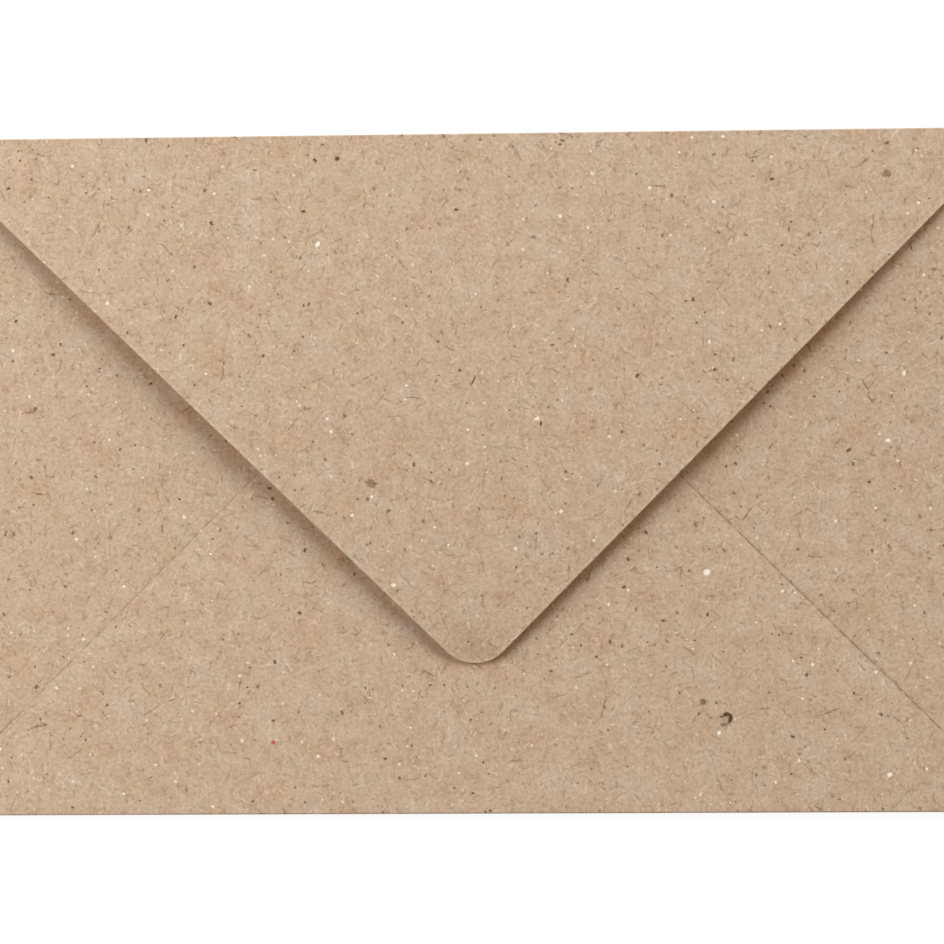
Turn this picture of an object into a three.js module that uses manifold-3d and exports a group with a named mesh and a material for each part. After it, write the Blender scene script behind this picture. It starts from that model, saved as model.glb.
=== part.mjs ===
// A recycled-paper envelope that lies on its address side, with its pointed seal flap closed but not stuck down.
// Lengths are millimetres. +X runs along the long side, +Y towards the top fold and +Z up through the layers.
// The origin is under the middle of the envelope, on the surface that it lies on.

import * as THREE from 'three';
import { mergeVertices } from 'three/addons/utils/BufferGeometryUtils.js';
import Module from 'manifold-3d';

const wasm = await Module();
wasm.setup();

// Driving dimensions: the sheet and the closed envelope

const width = 180; // over the two side folds
const height = 110; // over the bottom fold and the top fold
const paper = 0.2; // one thickness of the sheet
const pocketGap = 0.4; // air in the empty pocket, under the side flaps
const cornerNotch = 0.6; // left open at each corner between the ends of two folds

// Driving dimensions: the four flaps

const throat = 21.1; // from the top fold down to the point where the bottom flap's edges would meet
const bottomTipRadius = 6.4;
const sealTipMargin = 21.6; // from the bottom fold up to the point where the seal flap's edges would meet
const sealTipRadius = 6.4;
const sealBow = 1.1; // rise of the seal flap's bow above the straight line from its root to its tip
const sealTipLift = 0.9; // air between the bottom flap and the seal flap's tip
const sideReach = 58; // from a side fold in to the side flap's blunt end
const sideFootRun = 8; // stretch of a side flap that runs along the bottom fold
const seamLap = 14; // of the bottom flap over a side flap, at the blunt end
const mouthLap = 12; // of the seal flap over a side flap, at the blunt end
const sideCornerRadius = 5; // of the blunt end

// Driving dimensions: the paste of the seams and the gum of the seal flap

const pasteFilm = 0.1;
const pasteWidth = 3;
const pasteInset = 1.2; // from the bottom flap's edge in to the paste
const pasteEndMargin = 2; // from either end of the lap to the paste
const pasteCornerRadius = 0.8;
const gumFilm = 0.1;
const gumClearance = 0.05; // between the gum and the paper that carries it
const gumWidth = 11;
const gumInset = 1.5; // from the seal flap's edge in to the gum
const gumStart = 18; // from the seal flap's root down to the gum's ends
const gumInnerRadius = 2;

// Fineness of the curved surfaces

const bowSteps = 30;
const creaseSteps = 16;
const cornerSteps = 12;

// Heights of the layers

const sideFlapBase = paper + pocketGap;
const pasteBase = sideFlapBase + paper;
const bottomFlapBase = pasteBase + pasteFilm;
const sealRootBase = bottomFlapBase;
const sealTipBase = bottomFlapBase + paper + sealTipLift;

// A fold is half a tube. Its outer radius is half the height of the layers that it joins.

const sideFoldRadius = pasteBase / 2;
const bottomFoldRadius = (bottomFlapBase + paper) / 2;
const topFoldRadius = (sealRootBase + paper) / 2;

// Places of the flaps' roots, where the folds end

const panelRight = width / 2 - sideFoldRadius;
const panelBottom = -height / 2 + bottomFoldRadius;
const panelTop = height / 2 - topFoldRadius;
const longRootRight = panelRight - cornerNotch;
const sideRootBottom = panelBottom + cornerNotch;
const sideRootTop = panelTop - cornerNotch;

// The bottom flap and the seal flap are triangles. The slope is that of their right edges, as rise over run.

const bottomApex = height / 2 - throat;
const bottomSlope = (panelBottom - bottomApex) / longRootRight;
const sealApex = -height / 2 + sealTipMargin;
const sealSlope = (panelTop - sealApex) / longRootRight;

// The bow ends at the seal flap's rounded tip.

const sealTip = sealApex + sealTipRadius * (Math.hypot(1, sealSlope) - 1);

// Directions of extrusion, for a profile drawn in the plane of the two other axes

const alongX = new THREE.Matrix4().makeBasis(
  new THREE.Vector3(0, 1, 0), new THREE.Vector3(0, 0, 1), new THREE.Vector3(1, 0, 0));
const alongY = new THREE.Matrix4().makeBasis(
  new THREE.Vector3(0, 0, 1), new THREE.Vector3(1, 0, 0), new THREE.Vector3(0, 1, 0));

// A closed outline through corners given as [x, y, radius]. A corner of radius 0 stays sharp, and any other
// becomes an arc that touches both of its sides.
function roundedOutline(corners) {
  const outline = new THREE.Shape();
  corners.forEach(([x, y, radius], index) => {
    const corner = new THREE.Vector2(x, y);
    if (radius === 0) {
      if (index === 0) outline.moveTo(x, y);
      else outline.lineTo(x, y);
      return;
    }
    const before = corners.at(index - 1);
    const after = corners[(index + 1) % corners.length];
    const toBefore = new THREE.Vector2(before[0], before[1]).sub(corner).normalize();
    const toAfter = new THREE.Vector2(after[0], after[1]).sub(corner).normalize();
    const halfAngle = Math.acos(toBefore.dot(toAfter)) / 2;
    const bisector = toBefore.clone().add(toAfter).normalize();
    const centre = corner.clone().addScaledVector(bisector, radius / Math.sin(halfAngle));
    const sideLength = radius / Math.tan(halfAngle);
    const start = corner.clone().addScaledVector(toBefore, sideLength).sub(centre);
    const end = corner.clone().addScaledVector(toAfter, sideLength).sub(centre);
    const clockwise = toBefore.cross(toAfter) > 0;
    outline.absarc(centre.x, centre.y, radius, start.angle(), end.angle(), clockwise);
  });
  outline.closePath();
  return outline;
}

// A flat layer of the given outline, seen from above, whose underside is at the height base.
function flatLayer(outline, base, thickness) {
  const geometry = new THREE.ExtrudeGeometry(outline, {
    depth: thickness, bevelEnabled: false, curveSegments: cornerSteps,
  });
  return geometry.translate(0, 0, base);
}

// Half a tube with walls as thick as the sheet. Its section is drawn in the plane (u, v) and turns half round
// from the angle start, and it runs from low to high in the given direction.
function fold(u, v, outerRadius, start, low, high, direction) {
  const section = new THREE.Shape();
  section.absarc(u, v, outerRadius, start, start + Math.PI, false);
  section.absarc(u, v, outerRadius - paper, start + Math.PI, start, true);
  section.closePath();
  const geometry = new THREE.ExtrudeGeometry(section, {
    depth: high - low, bevelEnabled: false, curveSegments: creaseSteps,
  });
  return geometry.translate(0, 0, low).applyMatrix4(direction);
}

// Height of the seal flap's underside, at the distance y along the envelope: a straight line from root to tip
// with a parabola of height sealBow on it.
function sealUnderside(y) {
  const share = (panelTop - y) / (panelTop - sealTip);
  return sealRootBase + (sealTipBase - sealRootBase) * share + 4 * sealBow * share * (1 - share);
}

function toManifold(geometry) {
  const bare = geometry.clone();
  bare.deleteAttribute('normal');
  bare.deleteAttribute('uv');
  const merged = mergeVertices(bare);
  return new wasm.Manifold(new wasm.Mesh({
    numProp: 3,
    vertProperties: Float32Array.from(merged.attributes.position.array),
    triVerts: Uint32Array.from(merged.index.array),
  }));
}

function fromManifold(solid) {
  const mesh = solid.getMesh();
  const geometry = new THREE.BufferGeometry();
  geometry.setAttribute('position', new THREE.BufferAttribute(mesh.vertProperties, 3));
  geometry.setIndex(new THREE.BufferAttribute(mesh.triVerts, 1));
  geometry.computeVertexNormals();
  return geometry;
}

// A layer that is bowed as the seal flap is: the bow's section, as wide as the envelope, cut to the outline.
// Its underside is at the distance drop below the seal flap's.
function bowedLayer(outline, drop, thickness) {
  const stations = Array.from({ length: bowSteps + 1 }, (_, step) => (
    panelTop + (sealTip - panelTop) * step / bowSteps
  ));
  const underside = stations.map((y) => new THREE.Vector2(y, sealUnderside(y) - drop));
  const upperSide = underside.map((point) => new THREE.Vector2(point.x, point.y + thickness));
  const section = new THREE.Shape([...underside.reverse(), ...upperSide]);
  const strip = new THREE.ExtrudeGeometry(section, { depth: width, bevelEnabled: false });
  strip.translate(0, 0, -width / 2).applyMatrix4(alongX);
  const cutterHeight = sealTipBase + sealBow + thickness + drop;
  const cutter = flatLayer(outline, 0, cutterHeight);
  return fromManifold(toManifold(strip).intersect(toManifold(cutter)));
}

// Distance from the seal flap's apex up to the apex of a smaller triangle whose sides lie inset further in
function apexShift(slope, inset) {
  return inset * Math.hypot(1, slope);
}

// The panel and the flaps

function frontPanel() {
  return flatLayer(roundedOutline([
    [-panelRight, panelBottom, 0],
    [panelRight, panelBottom, 0],
    [panelRight, panelTop, 0],
    [-panelRight, panelTop, 0],
  ]), 0, paper);
}

// side is 1 for the right flap and -1 for the left one.
function sideFlap(side) {
  const end = width / 2 - sideReach;
  const endLow = bottomApex + bottomSlope * end - seamLap;
  const endHigh = sealApex + sealSlope * end + mouthLap;
  return flatLayer(roundedOutline([
    [side * panelRight, sideRootBottom, 0],
    [side * panelRight, sideRootTop, 0],
    [side * end, endHigh, sideCornerRadius],
    [side * end, endLow, sideCornerRadius],
    [side * (panelRight - sideFootRun), sideRootBottom, 0],
  ]), sideFlapBase, paper);
}

function bottomFlap() {
  return flatLayer(roundedOutline([
    [-longRootRight, panelBottom, 0],
    [longRootRight, panelBottom, 0],
    [0, bottomApex, bottomTipRadius],
  ]), bottomFlapBase, paper);
}

function sealFlap() {
  return bowedLayer(roundedOutline([
    [longRootRight, panelTop, 0],
    [-longRootRight, panelTop, 0],
    [0, sealApex, sealTipRadius],
  ]), 0, paper);
}

// The films

// A strip of paste along the bottom flap's edge, where it lies over the side flap of that side
function seamPaste(side) {
  const outer = panelRight - sideFootRun - pasteEndMargin;
  const inner = width / 2 - sideReach + pasteEndMargin;
  const upper = bottomApex - apexShift(bottomSlope, pasteInset);
  const lower = bottomApex - apexShift(bottomSlope, pasteInset + pasteWidth);
  return flatLayer(roundedOutline([
    [side * outer, lower + bottomSlope * outer, pasteCornerRadius],
    [side * outer, upper + bottomSlope * outer, pasteCornerRadius],
    [side * inner, upper + bottomSlope * inner, pasteCornerRadius],
    [side * inner, lower + bottomSlope * inner, pasteCornerRadius],
  ]), pasteBase, pasteFilm);
}

// A V of gum along both edges of the seal flap, on its underside
function sealGum() {
  const top = panelTop - gumStart;
  const outerApex = sealApex + apexShift(sealSlope, gumInset);
  const innerApex = sealApex + apexShift(sealSlope, gumInset + gumWidth);
  const outerEnd = (top - outerApex) / sealSlope;
  const innerEnd = (top - innerApex) / sealSlope;
  return bowedLayer(roundedOutline([
    [outerEnd, top, 0],
    [innerEnd, top, 0],
    [0, innerApex, gumInnerRadius],
    [-innerEnd, top, 0],
    [-outerEnd, top, 0],
    [0, outerApex, sealTipRadius - gumInset],
  ]), gumClearance + gumFilm, gumFilm);
}

// The folds. Each has the length of the root that it carries.

function sideFold(side) {
  const radius = sideFoldRadius;
  const start = side > 0 ? 0 : Math.PI;
  return fold(radius, side * panelRight, radius, start, sideRootBottom, sideRootTop, alongY);
}

function bottomFold() {
  const radius = bottomFoldRadius;
  return fold(panelBottom, radius, radius, Math.PI / 2, -longRootRight, longRootRight, alongX);
}

function topFold() {
  const radius = topFoldRadius;
  return fold(panelTop, radius, radius, -Math.PI / 2, -longRootRight, longRootRight, alongX);
}

// Finishes: brown recycled paper, a little darker on the folds, clear dry paste and pale gum

function kraftPaper(color) {
  return new THREE.MeshStandardMaterial({ color, roughness: 0.95, metalness: 0 });
}

function dryPaste() {
  return new THREE.MeshStandardMaterial({ color: 0xd9c7a6, roughness: 0.5, metalness: 0 });
}

function sealingGum() {
  return new THREE.MeshStandardMaterial({ color: 0xcdb492, roughness: 0.3, metalness: 0 });
}

function piece(name, geometry, material) {
  const mesh = new THREE.Mesh(geometry, material);
  mesh.name = name;
  return mesh;
}

const pocket = new THREE.Group();
pocket.add(
  piece('front_panel', frontPanel(), kraftPaper(0xc4a98f)),
  piece('left_side_flap', sideFlap(-1), kraftPaper(0xc8af95)),
  piece('right_side_flap', sideFlap(1), kraftPaper(0xbea389)),
  piece('bottom_flap', bottomFlap(), kraftPaper(0xc2a68c)),
  piece('left_fold', sideFold(-1), kraftPaper(0xb99f86)),
  piece('right_fold', sideFold(1), kraftPaper(0xb99f86)),
  piece('bottom_fold', bottomFold(), kraftPaper(0xb99f86)),
  piece('top_fold', topFold(), kraftPaper(0xb99f86)),
  piece('left_seam_paste', seamPaste(-1), dryPaste()),
  piece('right_seam_paste', seamPaste(1), dryPaste()),
);

const closure = new THREE.Group();
closure.add(
  piece('seal_flap', sealFlap(), kraftPaper(0xc5aa90)),
  piece('seal_gum', sealGum(), sealingGum()),
);

const envelope = new THREE.Group();
envelope.add(pocket, closure);

export default envelope;
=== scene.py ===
"""A recycled-paper envelope with its seal flap up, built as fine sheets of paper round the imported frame.

Lengths are in metres, in the frame's axes: +X along the long side, +Y towards the top fold and +Z up through the
layers. Each piece of the sheet carries two attributes that its finish reads: "sheet", which is a place on the
paper and the share of the way through it from its outer face, and "rim", which is the distance to the nearest
cut edge.
"""

import math

import bmesh
import bpy
import numpy as np
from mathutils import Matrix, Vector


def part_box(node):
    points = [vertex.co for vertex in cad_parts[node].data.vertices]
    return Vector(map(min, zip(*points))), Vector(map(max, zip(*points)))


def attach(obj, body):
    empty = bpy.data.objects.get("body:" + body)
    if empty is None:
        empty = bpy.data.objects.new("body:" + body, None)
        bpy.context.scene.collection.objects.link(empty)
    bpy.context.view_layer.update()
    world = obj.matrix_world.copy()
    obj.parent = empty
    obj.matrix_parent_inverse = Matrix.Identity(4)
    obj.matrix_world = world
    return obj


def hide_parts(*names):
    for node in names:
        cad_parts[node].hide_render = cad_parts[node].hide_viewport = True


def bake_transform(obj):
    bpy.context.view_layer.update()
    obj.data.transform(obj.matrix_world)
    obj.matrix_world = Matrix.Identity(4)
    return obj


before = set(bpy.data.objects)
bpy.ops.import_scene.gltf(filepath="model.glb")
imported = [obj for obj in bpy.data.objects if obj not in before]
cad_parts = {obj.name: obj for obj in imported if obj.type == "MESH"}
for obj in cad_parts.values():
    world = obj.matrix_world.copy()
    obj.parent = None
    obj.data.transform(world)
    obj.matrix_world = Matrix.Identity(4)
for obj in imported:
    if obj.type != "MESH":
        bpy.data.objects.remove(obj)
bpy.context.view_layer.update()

bl_info = {
    "name": "Recycled envelope",
    "version": (1, 0, 0),
    "blender": (4, 5, 0),
    "location": "View3D > Sidebar > Envelope",
    "description": "Builds a recycled-paper envelope, sheet by sheet, round its frame",
    "category": "Mesh",
}

MM = 0.001

PANEL_LOW, PANEL_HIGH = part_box("front_panel")
SIDE_LOW, SIDE_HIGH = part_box("right_side_flap")
BOTTOM_LOW, BOTTOM_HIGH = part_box("bottom_flap")
SEAL_LOW, SEAL_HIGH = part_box("seal_flap")
PASTE_LOW, PASTE_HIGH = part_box("right_seam_paste")

# Grids
ARC_STEPS = 28  # points on a rounded corner
MIDDLE_RINGS = 23  # rings between the middle of a sheet and its border
RING_CROWDING = 0.65  # their even shares of the way are raised to this, which crowds them towards the border
BORDER_INSETS = np.array([1.6, 1.0, 0.6, 0.35, 0.2, 0.12]) * MM  # rings before the edge starts to round
FOLD_STEPS = 33  # points from one end of a fold's section to the other
FOLD_SPACING = 0.5 * MM  # along a fold
SHARP_ANGLE = math.radians(50)

# Paper
FRAY_REACH = 0.8 * MM  # how far in from a cut edge its roughness fades
FAR_IN = 3 * MM  # the rim distance of a place that is near no cut edge
HOLLOW_FADE = 12 * MM  # how far in from the folds the hollows reach their whole depth
PATTERN_STEP = 0.25  # how far the pattern is moved on for each seed, so that no two pieces look alike
SEEDS = {"panel": 1, "left": 2, "right": 3, "bottom": 4, "seal": 5, "paste": 6, "gum": 7}
SPECULAR = 0.25  # paper and dried films are less glossy than plastic

# Stage
TABLE_HALF, TABLE_DROP = 3.0, 0.02 * MM
TABLE_MATTE, TABLE_GLOW = 0.11, 0.922  # near the envelope, as the camera sees it
TABLE_PLAIN = 0.8  # as the light that falls on things sees it
WHITE = (1.0, 1.0, 1.0, 1.0)
TABLE_FADE = (0.2, 0.5)  # from here to there, the table that takes light turns plain white
LAMPS = {
    # azimuth from +X and angle from the vertical in degrees, distance and size in metres
    "left": (176, 70.6, 0.75, 0.60),
    "far_left": (128, 59, 2.20, 1.12),
    "far_right": (78, 66, 2.80, 1.61),
    "right": (6.6, 74, 1.51, 0.46),
    "overhead": (90, 12, 1.20, 0.50),
}
PHOTO_SIDE = 944  # pixels, the width and the height of the picture
FOCAL_PIXELS = 2500.0  # the lens, in pixels of that width
CAMERA_PLACE = (14.16, -11.23, 404.62)  # mm
CAMERA_TURN = (1.586, 1.891, -0.41)  # degrees


def length(name, description, default):
    """A property that holds a length."""
    return bpy.props.FloatProperty(
        name=name, description=description, default=default, min=0.0, precision=5, subtype="DISTANCE",
        unit="LENGTH")


def share(name, description, default):
    """A property that holds a plain number."""
    return bpy.props.FloatProperty(name=name, description=description, default=default, min=0.0)


def colour(name, description, default):
    """A property that holds a linear colour."""
    return bpy.props.FloatVectorProperty(
        name=name, description=description, default=default, min=0.0, max=1.0, size=3, subtype="COLOR")


class EnvelopeSizes(bpy.types.PropertyGroup):
    """Sizes of the folded sheet, the paste and the gum."""

    paper: length("Paper", "Thickness of the sheet", PANEL_HIGH.z)
    tip_radius: length("Tip radius", "Radius of the bottom flap's and the seal flap's tips", 6.4 * MM)
    bow: length("Bow", "Rise of the seal flap's bow over the line from root to tip", 1.1 * MM)
    tip_base: length("Tip height", "Height of the seal flap's underside at its tip", 2.0 * MM)
    foot_run: length("Foot run", "Stretch of a side flap along the bottom fold", 8.0 * MM)
    seam_lap: length("Seam lap", "Lap of the bottom flap over a side flap's end", 14.0 * MM)
    mouth_lap: length("Mouth lap", "Lap of the seal flap over a side flap's end", 12.0 * MM)
    side_corner: length("Side flap corner", "Radius of a side flap's two inner corners", 5.0 * MM)
    edge_radius: length("Edge radius", "Rounding of the paper's cut edges", 0.06 * MM)
    edge_droop: length("Edge droop", "Drop of the paper at its cut edges", 0.035 * MM)
    droop_reach: length("Droop reach", "How far in from a cut edge its droop fades", 0.35 * MM)
    seam_droop: length("Seam droop", "Drop of the bottom flap's underside at the seams", 0.095 * MM)
    seam_droop_reach: length("Seam droop reach", "How far in from the seams that droop fades", 0.9 * MM)
    seam_press: length("Seam press", "Drop of the bottom flap's upper face at the seams", 0.17 * MM)
    seam_press_reach: length("Seam press reach", "How far in from the seams that fades", 3.0 * MM)
    seam_trim: length("Seam trim", "Paper cut back from the bottom flap's edges", 0.12 * MM)
    seam_shift: length("Seam shift", "How far to the left the bottom flap lies", 0.11 * MM)
    skew: length("Skew", "Sideways shift of the seal flap's tip", 1.26 * MM)
    tip_droop: length("Tip droop", "Drop of the seal flap's very tip towards the pocket", 0.7 * MM)
    tip_droop_reach: length("Tip droop reach", "How far from the tip its droop fades", 4.5 * MM)
    edge_fray: length("Edge fray", "Roughness of the cut edges in plan", 0.02 * MM)
    crease_power: share("Crease sharpness", "Power of the rounded square that the creases follow", 5.0)
    settling: length("Settling", "Depth of the shallow hollows in the laid sheet", 0.09 * MM)
    gum_width: length("Gum width", "Width of the band of gum", 11.0 * MM)
    gum_inset: length("Gum inset", "Paper left bare between the edge and the gum", 1.5 * MM)
    gum_start: length("Gum start", "Bare paper from the seal flap's root to the gum", 18.0 * MM)
    gum_inner_radius: length("Gum inner radius", "Radius of the gum's inner corner", 2.0 * MM)
    gum_film: length("Gum film", "Thickness of the gum", 0.08 * MM)


class EnvelopeColours(bpy.types.PropertyGroup):
    """Colours of the paper, its fibres, the painted shade at its cut edges and the two adhesives."""

    paper: colour("Paper", "Body colour of the recycled paper", (0.556, 0.402, 0.279))
    # The cut edge colour is partly the rough edges' own and partly painted shade, at the seams and on the cut
    # walls.
    cut_edge: colour("Cut edge", "Rough cut edges of the paper", (0.230, 0.150, 0.095))
    dark_fibre: colour("Dark fibre", "Single brown fibres", (0.235, 0.135, 0.070))
    speck: colour("Speck", "Dark specks of bark", (0.110, 0.060, 0.026))
    ink: colour("Ink", "Scraps of old print", (0.046, 0.024, 0.007))
    stain: colour("Stain", "Pinkish grey stain inside the scrap of old print", (0.235, 0.155, 0.120))
    fleck: colour("Fleck", "Small white flecks of coated stock", (0.965, 0.860, 0.730))
    bark: colour("Bark", "Brown spots of bark", (0.200, 0.105, 0.050))
    thread: colour("Thread", "The one red scrap of thread", (0.560, 0.090, 0.060))
    paste: colour("Paste", "Dry seam paste", (0.694, 0.571, 0.381))
    gum: colour("Gum", "Dry sealing gum over the paper", (0.560, 0.390, 0.230))


class EnvelopeStage(bpy.types.PropertyGroup):
    """Each lamp's share of the red, green and blue light on the table. Together they're white there, and the
    shadows are left warm.
    """

    left: colour("Left light", "Light from the left", (0.451, 0.460, 0.434))
    far_left: colour("Far left light", "Light from beyond the top fold, on the left", (0.008, 0.018, 0.010))
    far_right: colour("Far right light", "Light from beyond the top fold, on the right", (0.336, 0.404, 0.470))
    right: colour("Right light", "Light from the right", (0.202, 0.196, 0.152))
    overhead: colour("Overhead light", "Light from above", (0.088, 0.006, 0.0))


# Outlines and profiles


def apex_of(root, half_width, tip, radius):
    """Where a flap's two slanting edges would meet, along Y. They touch the circle of the rounded tip and start
    at the ends of the root, so each edge leaves the line from there to the circle's centre by
    asin(radius / distance).
    """
    way = 1.0 if root > tip else -1.0
    centre = tip + way * radius
    distance = math.hypot(half_width, root - centre)
    lean = math.atan2(half_width, abs(root - centre)) - math.asin(radius / distance)
    return root - way * half_width / math.tan(lean)


def outline(corners, inset, counts, arc_steps=ARC_STEPS):
    """Points round a convex outline whose corners (x, y, radius) run anticlockwise and whose sides are moved in
    by the inset. A corner moves along the sum of its two inward normals, over one plus their product. Its arc
    touches both sides, and each side's run between the arcs is split evenly.
    """
    place = np.array([corner[:2] for corner in corners])
    side = np.roll(place, -1, 0) - place
    along = side / np.linalg.norm(side, axis=1)[:, None]
    inward = np.stack([-along[:, 1], along[:, 0]], 1)
    before, ahead = np.roll(along, 1, 0), np.roll(inward, 1, 0)
    product = (ahead * inward).sum(1)
    place = place + inset * (ahead + inward) / (1 + product)[:, None]
    turn = np.arccos(np.clip(product, -1, 1))
    runs = []
    for index, (_, _, radius) in enumerate(corners):
        left = max(radius - inset, 0.0)
        start = place[index] - before[index] * left * math.tan(turn[index] / 2)
        angle = np.linspace(0, turn[index], arc_steps if radius > 0 else 1)[:, None]
        spoke = np.cos(angle) * ahead[index] - np.sin(angle) * before[index]
        runs.append(start + left * (ahead[index] - spoke))
    points = []
    for index, run in enumerate(runs):
        end, start = run[-1], runs[(index + 1) % len(runs)][0]
        step = np.linspace(0, 1, counts[index] + 2)[1:-1, None]
        points += [run, end + (start - end) * step]
    return np.concatenate(points)


def side_counts(corners, spacing):
    """How many points go between the ends of each side, so that they are about the spacing apart."""
    place = np.array([corner[:2] for corner in corners])
    sides = np.linalg.norm(np.roll(place, -1, 0) - place, axis=1)
    return [max(2, round(side / spacing)) for side in sides]


def cut_shares(corners, cut, counts):
    """For each point that outline() gives, 1 on a cut side or a rounded corner and 0 on a folded one."""
    parts = []
    for index, (_, _, radius) in enumerate(corners):
        rounded = radius > 0
        parts.append(np.full(ARC_STEPS if rounded else 1, float(rounded or (cut[index] and cut[index - 1]))))
        parts.append(np.full(counts[index], float(cut[index])))
    return np.concatenate(parts)


def smooth_noise(count, seed, passes=2):
    """A closed row of random numbers between -1 and 1, each averaged with its neighbours a few times."""
    row = np.random.default_rng(seed).uniform(-1, 1, count)
    for _ in range(passes):
        row = (np.roll(row, 1) + 2 * row + np.roll(row, -1)) / 4
    return row


def settled(x, y, z):
    """Lowers the layers above the front panel into shallow hollows. Their depth is a sum of three crossed waves,
    it fades out near the folds and it grows from nothing at the panel to all of it at the bottom flap.
    """
    wave = (
        np.sin(x / 0.0171 + 1.3) * np.sin(y / 0.0143 + 0.4)
        + np.sin((x + 0.6 * y) / 0.0113 + 2.1)
        + np.sin((y - 0.45 * x) / 0.0092 + 5.0)
    )
    hollow = 0.5 - wave / 6
    fade = np.clip(np.minimum(PANEL_HIGH.x - np.abs(x), PANEL_HIGH.y - np.abs(y)) / HOLLOW_FADE, 0, 1)
    rise = np.clip((z - PANEL_HIGH.z) / (BOTTOM_LOW.z - PANEL_HIGH.z), 0, 1)
    return z - bpy.context.scene.envelope_sizes.settling * hollow * fade * fade * (3 - 2 * fade) * rise


def leaned(x, y, skew):
    """Moves the seal flap sideways by the skew times the share of the way from its root to its tip."""
    return x + skew * (PANEL_HIGH.y - y) / (PANEL_HIGH.y - SEAL_LOW.y)


def pattern_shift(seed):
    """How far along X and Y the pattern is moved on for this seed."""
    return PATTERN_STEP * seed, -0.6 * PATTERN_STEP * seed


# Meshes


def grid_faces(rows, columns, capped=True):
    """Quads of a grid whose columns close round, with a fan to one more vertex past its first and its last row.
    The two extra vertices come after the grid's. Without caps, an end face closes the first and the last row
    instead.
    """
    here = np.arange(rows * columns).reshape(rows, columns)
    turned = np.roll(here, -1, 1)
    quads = np.stack([here[:-1], here[1:], turned[1:], turned[:-1]], -1).reshape(-1, 4)
    faces = quads.tolist()
    if capped:
        first = np.stack([np.full(columns, rows * columns), here[0], turned[0]], 1)
        last = np.stack([here[-1], np.full(columns, rows * columns + 1), turned[-1]], 1)
        return faces + first.tolist() + last.tolist()
    return faces + [here[0].tolist(), here[-1][::-1].tolist()]


def add_piece(name, node, body, place, faces, sheet, rim, material, seed=0):
    """Makes the mesh, hides the node that it stands for and gives it its body. The place is the arrays x, y and
    z, which are settled here, and the sheet is its place on the paper, which is moved on by the seed.
    """
    (x, y, z), (u, v, depth), shift = place, sheet, pattern_shift(seed)
    points = np.stack([x, y, settled(x, y, z)], -1).reshape(-1, 3)
    sheet = np.stack([u + shift[0], v + shift[1], depth], -1)
    mesh = bpy.data.meshes.new(name)
    mesh.from_pydata(points.tolist(), [], faces)
    vectors, numbers = ("sheet", "FLOAT_VECTOR", "vector", sheet), ("rim", "FLOAT", "value", rim)
    for label, kind, field, values in (vectors, numbers):
        attribute = mesh.attributes.new(label, kind, "POINT")
        attribute.data.foreach_set(field, np.asarray(values, np.float32).ravel())
    shell = bmesh.new()
    shell.from_mesh(mesh)
    bmesh.ops.recalc_face_normals(shell, faces=shell.faces)
    if any(not edge.is_manifold for edge in shell.edges):
        raise RuntimeError(f"the surface of {name} isn't closed")
    shell.to_mesh(mesh)
    shell.free()
    mesh.shade_smooth()
    mesh.set_sharp_from_angle(angle=SHARP_ANGLE)
    mesh.materials.append(material)
    piece = bpy.data.objects.new(name, mesh)
    bpy.context.scene.collection.objects.link(piece)
    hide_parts(node)
    if body:
        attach(piece, body)
    return piece


def sheet_piece(name, node, body, corners, cut, base, seed, material, outer_up=True,
                thickness=None, spacing=0.4 * MM, droop=None, skew=0.0):
    """A sheet with the outline of the corners. Its section is a profile carried round the outline: out from the
    middle over the upper face, round the edge and back under it. Over a cut edge the profile turns through a
    quarter circle at each face, and each face droops there by its depth times exp(-distance / reach). droop
    holds the depth and the reach for the underside and for the upper face, base(x, y) is the underside, and the
    skew moves the seal flap's tip sideways.
    """
    sizes = bpy.context.scene.envelope_sizes
    thickness = thickness or sizes.paper
    under, over = droop or [(sizes.edge_droop, sizes.droop_reach)] * 2
    radius = min(sizes.edge_radius, 0.4 * (thickness + under[0] - over[0]))
    counts = side_counts(corners, spacing)
    cuts = cut_shares(corners, cut, counts)
    angle = np.radians([0, 30, 60, 90])
    insets = np.concatenate([BORDER_INSETS, radius * (1 - np.sin(angle))])
    drops = np.concatenate([np.zeros(len(BORDER_INSETS)), radius * (1 - np.cos(angle))])
    rings = np.array([outline(corners, inset, counts) for inset in insets])
    spoke = rings[-1] - rings[len(BORDER_INSETS) - 1]
    spoke /= np.linalg.norm(spoke, axis=1)[:, None]
    fray = smooth_noise(len(cuts), seed) * cuts * sizes.edge_fray
    rings += spoke * (fray * np.exp(-insets[:, None] / FRAY_REACH))[:, :, None]
    middle = np.mean([corner[:2] for corner in corners], axis=0)
    shares = np.linspace(0, 1, MIDDLE_RINGS + 2)[1:-1] ** RING_CROWDING
    plan = np.concatenate([middle + (rings[0] - middle) * shares[:, None, None], rings])
    nearest = np.linalg.norm(rings[0] - middle, axis=1).min()
    inset = np.concatenate([insets[0] + (1 - shares) * nearest, insets])[:, None]
    drop = np.concatenate([np.zeros(MIDDLE_RINGS), drops])[:, None] * cuts
    underside = base(plan[..., 0], plan[..., 1])
    lower = underside - under[0] * np.exp(-inset / under[1]) * cuts + drop
    upper = underside + thickness - over[0] * np.exp(-inset / over[1]) * cuts - drop
    rim = np.where(cuts > 0, inset, FAR_IN)
    bottom = base(*middle)

    def all_over(upper, lower, first, last):
        """Values over the upper face and back under it, and then at the two middles."""
        return np.append(np.concatenate([upper, lower[::-1]]).ravel(), [first, last])

    x = all_over(plan[..., 0], plan[..., 0], middle[0], middle[0])
    y = all_over(plan[..., 1], plan[..., 1], middle[1], middle[1])
    z = all_over(upper, lower, bottom + thickness, bottom)
    depth = all_over(drop / thickness, (thickness - drop) / thickness, 0.0, 1.0)
    x = leaned(x, y, skew)
    return add_piece(
        name, node, body, (x, y, z), grid_faces(2 * len(plan), len(cuts)),
        (x, y, depth if outer_up else 1 - depth), all_over(rim, rim, FAR_IN, FAR_IN), material, seed)


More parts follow.
